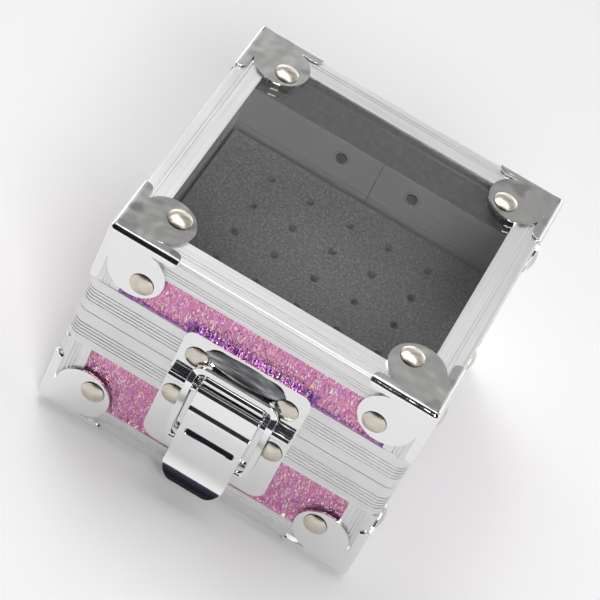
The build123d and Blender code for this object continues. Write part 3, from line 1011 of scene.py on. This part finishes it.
@dataclass
class CornerPlates:
    """The eight pressed corner plates."""

    shop: Workshop
    edge: float = 0.26 * MM
    bend: float = 1.2 * MM
    tongue_width: float = 3.5 * MM
    tongue_round: float = 1.9 * MM
    tongue_sheet: float = 0.45 * MM
    tongue_lap: float = 0.02 * MM
    tongue_edge: float = 0.1 * MM
    chrome: PressedChrome = PressedChrome()

    def build(self) -> None:
        """Make the eight plates."""
        for body in (Body.BASE, Body.LID):
            for corner in CORNERS:
                node = f"{body.value}_{corner}_corner"
                piece = broken_edges(copy_of_node(node, f"{node}_pressed"), self.edge, 3)
                if body is Body.LID:
                    tongues = [self.tongue(node, along) for along in (0, 1)]
                    piece = joined(f"{node}_pressed", [piece, *tongues])
                self.shop.hand_over(piece, body, Slot.CHROME, self.chrome, node)

    def tongue(self, node: str, along: int) -> Piece:
        """Model the flat of a tongue that lies on the lid's top beside its bend.

        Args:
            node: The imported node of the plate.
            along: The axis that the tongue follows, 0 or 1.

        Returns:
            The flat, rounded at its free end.
        """
        low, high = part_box(node)
        start, end = (
            Vector((most(low.x, high.x, key=abs), most(low.y, high.y, key=abs), high.z))
            for most in (max, min)
        )
        signs = [1 if end[axis] > start[axis] else -1 for axis in (0, 1)]
        across = 1 - along
        end[across] = start[across] + self.tongue_width * signs[across]
        for axis in (0, 1):
            start[axis] += self.bend * signs[axis]
        start.z, end.z = high.z - self.tongue_sheet, high.z - self.tongue_lap
        corners = (Vector(map(min, start, end)), Vector(map(max, start, end)))
        piece = block(f"{node}_tongue_{along}", *corners)
        with editing(piece):
            pick(piece, Part.EDGES, lambda at, way: (at.xy - end.xy).length < NEAR)
            bpy.ops.mesh.bevel(offset=self.tongue_round, segments=8, affect="EDGES")
        return broken_edges(piece, self.tongue_edge)


@dataclass
class Rivets:
    """Domed rivets, modelled once for each grip and copied to every place."""

    shop: Workshop
    head_radius: float = 3.25 * MM
    head_rise: float = 1.118 * MM
    head_edge: float = 0.22 * MM
    head_reach: float = 1.3 * MM
    shank_radius: float = 1.5 * MM
    tail_radius: float = 2.2 * MM
    tail_rise: float = 0.6 * MM
    edge: float = 0.08 * MM
    segments: int = 48
    nickel: Grained = RIVET_NICKEL

    def rivet(self, length: float) -> Piece:
        """Model one rivet, its head's underside at the origin and its shank down.

        Args:
            length: From the head's underside to the tail's end.

        Returns:
            The rivet.
        """
        rise = self.head_rise - self.head_edge
        dome = (self.head_radius**2 + rise**2) / (2 * rise)
        put_down()
        bpy.ops.mesh.primitive_uv_sphere_add(
            segments=self.segments,
            ring_count=2 * self.segments,
            radius=dome,
            location=(0, 0, self.head_rise - dome),
        )
        piece = settled("rivet_pattern")
        with editing(piece):
            pick_all()
            bpy.ops.mesh.bisect(
                plane_co=(0, 0, self.head_edge),
                plane_no=(0, 0, 1),
                use_fill=True,
                clear_inner=True,
            )
            steps = (
                (self.head_radius, self.head_edge),
                (self.shank_radius, 0.0),
                (self.shank_radius, length - self.tail_rise),
                (self.tail_radius, 0.0),
                (self.shank_radius, self.tail_rise),
            )
            now = self.head_radius
            for radius, drop in steps:
                step = {"value": (0, 0, -drop)}
                bpy.ops.mesh.extrude_region_move(TRANSFORM_OT_translate=step)
                share = radius / now
                bpy.ops.transform.resize(value=(share, share, 1))
                now = radius
            pick_all()
            bpy.ops.mesh.normals_make_consistent(inside=False)
        return broken_edges(piece, self.edge, angle=50)

    def group(self, node: str, body: Body) -> None:
        """Copy the rivet to each place of a packed group.

        Args:
            node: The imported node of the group.
            body: The body it rides on.
        """
        places = list(self.places(node))
        pattern = self.rivet(max(length for _, length in places))
        copies = [
            copy_piece(pattern, f"{node}_{number}", place)
            for number, (place, _) in enumerate(places)
        ]
        bpy.data.objects.remove(pattern)
        piece = joined(f"{node}_set", copies)
        self.shop.hand_over(piece, body, Slot.NICKEL, self.nickel, node)

    def places(self, node: str) -> Iterator[tuple[Matrix, float]]:
        """Where each rivet of a packed group stands.

        Args:
            node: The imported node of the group.

        Yields:
            The rivet's place, and its length under the head.
        """
        solid = bmesh.new()
        solid.from_mesh(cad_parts[node].data)
        bmesh.ops.remove_doubles(solid, verts=solid.verts, dist=MERGED)
        left = set(solid.verts)
        while left:
            island, fringe = set(), [left.pop()]
            while fringe:
                vert = fringe.pop()
                island.add(vert)
                fringe += [
                    other
                    for edge in vert.link_edges
                    if (other := edge.other_vert(vert)) in left and not left.discard(other)
                ]
            spots = [v.co for v in island]
            low = Vector(map(min, *spots))
            high = Vector(map(max, *spots))
            size, middle = high - low, (low + high) / 2
            axis = max(range(3), key=lambda i: abs(size[i] - 2 * self.head_radius))
            ends = (low[axis], high[axis])
            across = (axis + 1) % 3
            wide = [
                max(
                    abs(spot[across] - middle[across])
                    for spot in spots
                    if abs(spot[axis] - end) < self.head_reach
                )
                for end in ends
            ]
            way = Vector((0, 0, 0))
            way[axis] = 1 if wide[1] > wide[0] else -1
            crown = ends[1] if way[axis] > 0 else ends[0]
            base = middle.copy()
            base[axis] = crown - way[axis] * self.head_rise
            turn = way.to_track_quat("Z", "Y").to_matrix().to_4x4()
            yield Matrix.Translation(base) @ turn, size[axis] - self.head_rise
        solid.free()

    def build(self) -> None:
        """Make every group of rivets."""
        for kind in ("base_side", "foot", "latch_plate", "hinge_base"):
            self.group(f"{kind}_rivets", Body.BASE)
        for kind in ("lid_side", "lid_top", "strike", "hinge_lid"):
            self.group(f"{kind}_rivets", Body.LID)


@dataclass
class FoamInsert:
    """Foam block with its grid of bit holes."""

    shop: Workshop
    hole_radius: float = 1.15 * MM
    hole_depth: float = 24.0 * MM
    hole_sides: int = 20
    pitch: float = 12.0 * MM
    columns: int = 5
    rows: int = 6
    mouth: float = 0.35 * MM
    grain: FoamGrain = FoamGrain()

    def build(self) -> None:
        """Model the block, cut its holes and soften its edges."""
        low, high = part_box("foam_insert")
        foam = block("foam_block", low, high)
        holes = []
        for column in range(self.columns):
            for row in range(self.rows):
                x = (column - (self.columns - 1) / 2) * self.pitch + (low.x + high.x) / 2
                y = (row - (self.rows - 1) / 2) * self.pitch + (low.y + high.y) / 2
                ends = (high.z - self.hole_depth, high.z + self.mouth)
                bottom, top = (Vector((x, y, z)) for z in ends)
                name = f"hole_{column}_{row}"
                holes.append(rod(name, bottom, top, self.hole_radius, self.hole_sides))
        cut(foam, joined("holes", holes))
        broken_edges(foam, self.mouth, 3, 60)
        self.shop.hand_over(foam, Body.BASE, Slot.FOAM, self.grain, "foam_insert")


@dataclass
class Latch:
    """Draw latch: plate, pin, lever, loop and strike plate.

    Lengths that carry MM are in metres. The others are places on the latch's side view, in
    millimetres in front of the corner plates and over the seam, or degrees.
    """

    shop: Workshop
    edge: float = 0.18 * MM
    plate_edge: float = 0.3 * MM
    plate_face: float = 0.2
    lever_width: float = 17.4 * MM
    lever_sheet: float = 0.68 * MM
    pin_out: float = 2.0
    pin_height: float = -1.2
    curl: float = 1.4 * MM
    curl_turns: tuple[int, ...] = (215, 185, 155, 125, 95, 65, 35, 10)
    front: float = 4.3
    shoulder: tuple[float, float] = (4.1, -5.2)
    groove: tuple[float, float] = (3.35, -6.0)
    groove_foot: tuple[float, float] = (4.2, -6.9)
    face_top: float = -8.0
    face_foot: float = -20.0
    trough_height: float = -14.6
    trough_length: float = 14.6 * MM
    trough_size: tuple[float, float] = (0.85, 2.5)
    trough_out: float = 0.5
    trough_tilt: float = 40.0
    stiffener_depths: tuple[float, float] = (0.35, 1.6)
    stiffener_reach: float = 2.4
    stiffener_share: float = 0.88
    scoop_radius: float = 10.0
    scoop_turn: float = 44.0
    scoop_steps: int = 16
    tip_height: float = -30.4
    tip_radius: float = 4.0 * MM
    wall_ends: tuple[float, float] = (-22.6, -1.7)
    wall_back: float = 0.8
    loop_side: tuple[tuple[float, float], ...] = (
        (2.0, -22.0),
        (2.0, -7.7),
        (3.9, -3.2),
        (3.9, 0.6),
        (1.8, 4.5),
        (1.8, 6.4),
    )
    loop_width: float = 24.6 * MM
    loop_strip: float = 1.8 * MM
    loop_sheet: float = 1.0 * MM
    loop_corner: float = 3.5 * MM
    loop_round: float = 0.47 * MM
    loop_gap: float = 0.3 * MM
    loop_bend: float = 0.7
    loop_levels: tuple[float, float, int] = (4.5, 0.7, 30)
    loop_pin_height: float = -21.1
    loop_pin_radius: float = 0.8 * MM
    loop_pin_lap: float = 1.4 * MM
    loop_pin_edge: float = 0.2 * MM
    dish_size: tuple[float, float] = (11.4, 3.5)
    dish_height: float = 9.6
    dish_depth: float = 0.62 * MM
    dish_skin: float = 0.02 * MM
    dish_rim: float = 0.03
    chrome: PressedChrome = PressedChrome(wave=0.05 * MM)
    brushed_and_reflection: Grained = BRUSHED_DISH_AND_REFLECTION

    def build(self) -> None:
        """Make the latch's pieces."""
        mount = copy_of_node("latch_plate", "latch_plate_pressed")
        self.chromed(broken_edges(mount, self.plate_edge, 4), Body.BASE, "latch_plate")
        self.strike()
        self.chromed(self.lever(), Body.LEVER, "latch_lever")
        self.chromed(self.loop(), Body.LOOP, "latch_loop")
        self.shop.keep_node("latch_pin", PIN_STEEL)

    def chromed(self, piece: Piece, body: Body, node: str) -> None:
        """Hand over one of the latch's chromed pieces."""
        self.shop.hand_over(piece, body, Slot.CHROME, self.chrome, node)

    def lever_side(self) -> list[Vector]:
        """Trace the lever's outer face from its curl down to its tip.

        Returns:
            The points of its side view.
        """
        pin = out(self.pin_out, self.pin_height)
        path = []
        for turn in map(radians, self.curl_turns):
            path.append(pin + self.curl * Vector((0, -cos(turn), sin(turn))))
        path += [out(*self.shoulder), out(*self.groove), out(*self.groove_foot)]
        path.append(out(self.front, self.face_top))
        start = self.tip_height + self.scoop_radius * sin(radians(self.scoop_turn))
        for step in range(self.scoop_steps + 1):
            turn = radians(self.scoop_turn * step / self.scoop_steps)
            distance = self.front + self.scoop_radius * (1 - cos(turn))
            path.append(out(distance, start - self.scoop_radius * sin(turn)))
        return path

    def trough(self, piece: Piece) -> None:
        """Press the trough into the lever's face, its long wall above its steep one.

        Args:
            piece: The sheet, or the stiffener behind it.
        """
        put_down()
        bpy.ops.mesh.primitive_uv_sphere_add(
            segments=48, ring_count=24, radius=MM, rotation=(0, radians(90), 0)
        )
        press = settled("trough_press")
        press.scale = (1, *self.trough_size)
        press.rotation_euler.x = radians(-self.trough_tilt)
        press.location = out(self.front + self.trough_out, self.trough_height)
        settled("trough_press")
        for side in (-1, 1):
            with editing(press):
                pick(press, Part.VERTS, lambda at, way: side * at.x > NEAR)
                reach = side * (self.trough_length / 2 - MM)
                bpy.ops.transform.translate(value=(reach, 0, 0))
        cut(piece, press)

    def outline(self) -> Piece:
        """Model the block that rounds the lever's tip, seen from in front.

        Returns:
            The block.
        """
        half = Vector((self.lever_width / 2 + NEAR, 0, 0))
        foot = out(9, self.tip_height)
        piece = block("lever_outline", foot - half, out(-2, 3) + half)
        with editing(piece):
            pick(
                piece,
                Part.EDGES,
                lambda at, way: abs(way.y) > 0.9 and abs(at.z - foot.z) < NEAR,
            )
            bpy.ops.mesh.bevel(offset=self.tip_radius, segments=10, affect="EDGES")
        return piece

    def lever(self) -> Piece:
        """Model the pressed lever: curl, groove, trough, flared tip and side walls.

        Returns:
            The lever.
        """
        half = self.lever_width / 2
        stations = [-half, -half / 3, half / 3, half]
        piece = traced("lever_pressed", self.lever_side(), stations)
        low, high = (out(0, height).z for height in self.wall_ends)
        for side in (-1, 1):
            with editing(piece):
                pick(
                    piece,
                    Part.EDGES,
                    lambda at, way: abs(at.x - side * half) < NEAR
                    and low < at.z < high
                    and at.y < out(self.pin_out, 0).y,
                )
                bpy.ops.mesh.extrude_edges_move()
                bpy.ops.transform.resize(
                    value=(1, 0, 1), center_override=out(self.wall_back, 0)
                )
        turn_to_front(piece, out(0, self.face_foot).z, half / 2)
        add_modifier(
            piece, "SOLIDIFY", thickness=self.lever_sheet, offset=-1, use_even_offset=True
        )
        cut(piece, self.outline(), "INTERSECT")
        near, far = (self.front - depth for depth in self.stiffener_depths)
        reach = Vector((half * self.stiffener_share, 0, 0))
        stiffener = block(
            "lever_stiffener",
            out(near, self.trough_height - self.stiffener_reach) - reach,
            out(far, self.trough_height + self.stiffener_reach) + reach,
        )
        self.trough(stiffener)
        broken_edges(piece, self.edge, 3, 35)
        self.trough(piece)
        smooth(piece)
        smooth(stiffener)
        return joined("lever_pressed", [piece, stiffener])

    def loop_out(self, height: float) -> float:
        """How far out the middle of the loop's strip lies, its bends rounded.

        Args:
            height: Height over the seam.

        Returns:
            Its distance in front of the corner plates.
        """
        steps = (-1.0, -0.6, -0.2, 0.2, 0.6, 1.0)
        total = 0.0
        for step in steps:
            level = height + self.loop_bend * step
            for (low_out, low), (high_out, high) in zip(self.loop_side, self.loop_side[1:]):
                if level <= high or high == self.loop_side[-1][1]:
                    share = min(max((level - low) / (high - low), 0), 1)
                    total += low_out + (high_out - low_out) * share
                    break
        return total / len(steps)

    def loop(self) -> Piece:
        """Model the bowed loop: a flat ring, bent to its side view, with its two pins.

        Returns:
            The loop.
        """
        low, high = self.loop_side[0][1], self.loop_side[-1][1]
        middle, upright = out(0, (low + high) / 2), (radians(90), 0, 0)
        put_down()
        bpy.ops.mesh.primitive_plane_add(size=1, location=middle, rotation=upright)
        bpy.context.object.scale = (self.loop_width, (high - low) * MM, 1)
        piece = settled("loop_bent")
        inner = self.lever_width / 2 + self.loop_gap
        foot = out(0, low).z + self.loop_strip
        with editing(piece):
            pick_all()
            bpy.ops.mesh.bevel(offset=self.loop_corner, segments=8, affect="VERTICES")
            pick_all()
            bpy.ops.mesh.inset(thickness=self.loop_strip)
            bpy.ops.mesh.delete(type="FACE")
            cuts = [(Vector((side * inner, 0, 0)), (1, 0, 0)) for side in (-1, 1)]
            start, step, count = self.loop_levels
            levels = [low + start + number * step for number in range(count)]
            cuts += [(out(0, level), (0, 0, 1)) for level in levels]
            for place, way in cuts:
                pick_all()
                bpy.ops.mesh.bisect(plane_co=place, plane_no=way)
            pick(piece, Part.FACES, lambda at, way: abs(at.x) < inner and at.z < foot)
            bpy.ops.mesh.delete(type="FACE")
        heights = sorted({round((v.co.z - SEAM) / MM, 3) for v in piece.data.vertices})
        for height in heights:
            with editing(piece):
                pick(
                    piece,
                    Part.VERTS,
                    lambda at, way: abs(at.z - SEAM - height * MM) < 0.0006 * MM,
                )
                bpy.ops.transform.translate(value=(0, -self.loop_out(height) * MM, 0))
        add_modifier(
            piece, "SOLIDIFY", thickness=self.loop_sheet, offset=0, use_even_offset=True
        )
        broken_edges(piece, self.loop_round, 4, 55)
        pins = []
        ends = (self.lever_width / 2 - self.loop_pin_lap, self.loop_width / 2 - self.loop_strip)
        for side in (-1, 1):
            axle = out(self.pin_out, self.loop_pin_height)
            near, far = (axle + Vector((side * end, 0, 0)) for end in ends)
            pin = rod("loop_pin", near, far, self.loop_pin_radius, 24)
            pins.append(broken_edges(pin, self.loop_pin_edge))
        return joined("loop_bent", [piece, *pins])

    def dish(self, name: str, grow: float) -> Piece:
        """Model the oval that is pressed into the strike plate.

        Args:
            name: The piece's name.
            grow: How far it stands out past the oval.

        Returns:
            The oval, a closed shape.
        """
        put_down()
        bpy.ops.mesh.primitive_uv_sphere_add(segments=96, ring_count=48, radius=1)
        piece = bpy.context.object
        across, along = (size * MM + grow for size in self.dish_size)
        piece.scale = (across, self.dish_depth + grow, along)
        piece.location = out(self.plate_face, self.dish_height)
        return settled(name)

    def strike(self) -> None:
        """Make the strike plate, and its dish's skin: brush marks, painted reflection."""
        piece = copy_of_node("strike_plate", "strike_plate_pressed")
        cut(piece, self.dish("dish_press", 0))
        self.chromed(broken_edges(piece, self.plate_edge, 4), Body.LID, "strike_plate")
        skin = self.dish("strike_dish", -self.dish_skin)
        with editing(skin):
            pick_all()
            bpy.ops.mesh.bisect(
                plane_co=out(self.plate_face - self.dish_rim, 0),
                plane_no=(0, -1, 0),
                clear_outer=True,
            )
            pick_all()
            bpy.ops.mesh.flip_normals()
        add_modifier(skin, "SOLIDIFY", thickness=self.dish_skin, offset=-1)
        smooth(skin, 60)
        self.shop.hand_over(skin, Body.LID, Slot.CHROME, self.brushed_and_reflection, "strike_plate")


@dataclass
class Hinge:
    """Back hinge: two leaves and a pin."""

    shop: Workshop
    steel: Grained = LEAF_STEEL
    edge: float = 0.12 * MM

    def build(self) -> None:
        """Make the leaves and dress the pin."""
        for node, body in (("hinge_base_leaf", Body.BASE), ("hinge_lid_leaf", Body.LID)):
            leaf = broken_edges(copy_of_node(node, f"{node}_pressed"), self.edge)
            self.shop.hand_over(leaf, body, Slot.HINGE, self.steel, node)
        self.shop.keep_node("hinge_pin", PIN_STEEL)


# Studio
@dataclass
class Studio:
    """Pale floor, soft lights and the camera.

    The room's tones lie on ramps from 0 to 1: from straight below to straight above, but
    for the dark front's own, which run from in front of the box to behind it.
    """

    lens: float = 173.96
    sensor: float = 36.0
    camera_place: tuple[float, float, float] = (38.57, -523.44, 564.17)
    azimuth: float = 4.225
    elevation: float = 45.212
    roll: float = 27.522
    floor_reach: float = 3.0
    floor_tint: Colour = (0.95, 0.95, 0.95)
    lamp_size: float = 0.5
    key: tuple[tuple[float, float, float], float] = ((-0.5, 0.5, 1.1), 3.0)
    fill: tuple[tuple[float, float, float], float] = ((0.35, -1.0, 0.9), 9.0)
    room_strength: float = 2.02
    wall_tones: dict[float, Colour] = field(
        default_factory=lambda: {
            0.0: (0.95, 0.95, 0.95),
            0.55: (0.95, 0.95, 0.95),
            0.66: (0.42, 0.42, 0.43),
            0.86: (0.27, 0.268, 0.262),
            0.91: (0.27, 0.268, 0.262),
            0.945: WHITE,
        }
    )
    front_tones: dict[float, Colour] = field(
        default_factory=lambda: {0.46: (0.016, 0.017, 0.026), 0.53: WHITE}
    )
    front_reach: dict[float, Colour] = field(
        default_factory=lambda: {0.49: BLACK, 0.51: WHITE}
    )
    room_clouds: dict[float, Colour] = field(
        default_factory=lambda: {0.36: toned(WHITE, 0.5), 0.62: toned(WHITE, 1.25)}
    )
    cloud_scale: float = 3.5

    def build(self) -> None:
        """Set the floor, the lights and the camera."""
        bpy.context.scene.view_settings.view_transform = "Standard"
        self.floor()
        self.lamp("key", *self.key)
        self.lamp("fill", *self.fill)
        bpy.context.scene.world = self.room()
        self.camera()

    def camera(self) -> None:
        """Point the camera as the photograph was taken."""
        data = bpy.data.cameras.new("camera")
        data.lens, data.sensor_width = self.lens, self.sensor
        camera = bpy.data.objects.new("camera", data)
        bpy.context.scene.collection.objects.link(camera)
        place = Matrix.Translation(Vector(self.camera_place) * MM)
        turns = ((self.azimuth, "Z"), (90 - self.elevation, "X"), (self.roll, "Z"))
        for degrees, axis in turns:
            place = place @ Matrix.Rotation(radians(degrees), 4, axis)
        camera.matrix_world = place
        bpy.context.scene.camera = camera

    def floor(self) -> None:
        """Lay the pale floor."""
        put_down()
        bpy.ops.mesh.primitive_plane_add(size=2 * self.floor_reach)
        floor = settled("floor")
        sheet = Sheet("pale_floor")
        sheet.set(Base_Color=(*self.floor_tint, 1), Roughness=0.9)
        floor.data.materials.append(sheet.material)
        floor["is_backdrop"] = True

    def lamp(self, name: str, place: tuple[float, float, float], power: float) -> None:
        """Hang a soft square lamp that faces the box.

        Args:
            name: The lamp's name.
            place: Where it hangs.
            power: Its power in watts.
        """
        data = bpy.data.lights.new(name, "AREA")
        data.size, data.energy = self.lamp_size, power
        lamp = bpy.data.objects.new(name, data)
        bpy.context.scene.collection.objects.link(lamp)
        lamp.location = place
        lamp.rotation_mode = "QUATERNION"
        lamp.rotation_quaternion = (-Vector(place)).to_track_quat("-Z", "Y")

    def room(self) -> bpy.types.World:
        """Make the room: a pale horizon, grey walls, a soft box overhead, a dark front.

        Returns:
            The world that holds it.
        """
        world = bpy.data.worlds.new("room")
        room = Tree(world)
        way = room.add("TexCoord").outputs["Generated"]
        split = room.add("SeparateXYZ", Vector=way)
        depth, height = (
            room.add("MapRange", Value=split.outputs[axis], From_Min=-1).outputs[0]
            for axis in "YZ"
        )
        walls = room.ramp(height, self.wall_tones)
        front = room.ramp(depth, self.front_tones)
        plain = room.mix(room.ramp(height, self.front_reach), walls, front, "MULTIPLY")
        spots = room.ramp(room.noise(way, self.cloud_scale, 1.5), self.room_clouds)
        back = world.node_tree.nodes["Background"].inputs
        room.feed(back["Color"], room.mix(1.0, plain, spots, "MULTIPLY"))
        room.feed(back["Strength"], self.room_strength)
        return world


def write_sizes() -> None:
    boxes = {"frame": cad_box, "dressed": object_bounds()}
    plain = {name: [list(corner) for corner in box] for name, box in boxes.items()}


def main() -> None:
    """Build the box's sub-assemblies in order, then the studio round them."""
    logging.basicConfig(level=logging.INFO, format="%(name)s: %(message)s")
    shop = Workshop()
    for assembly in (Boards, Profiles, CornerPlates, Rivets, FoamInsert, Latch, Hinge):
        assembly(shop).build()
    Studio().build()
    put_down()
    write_sizes()


if __name__ == "__main__":
    main()
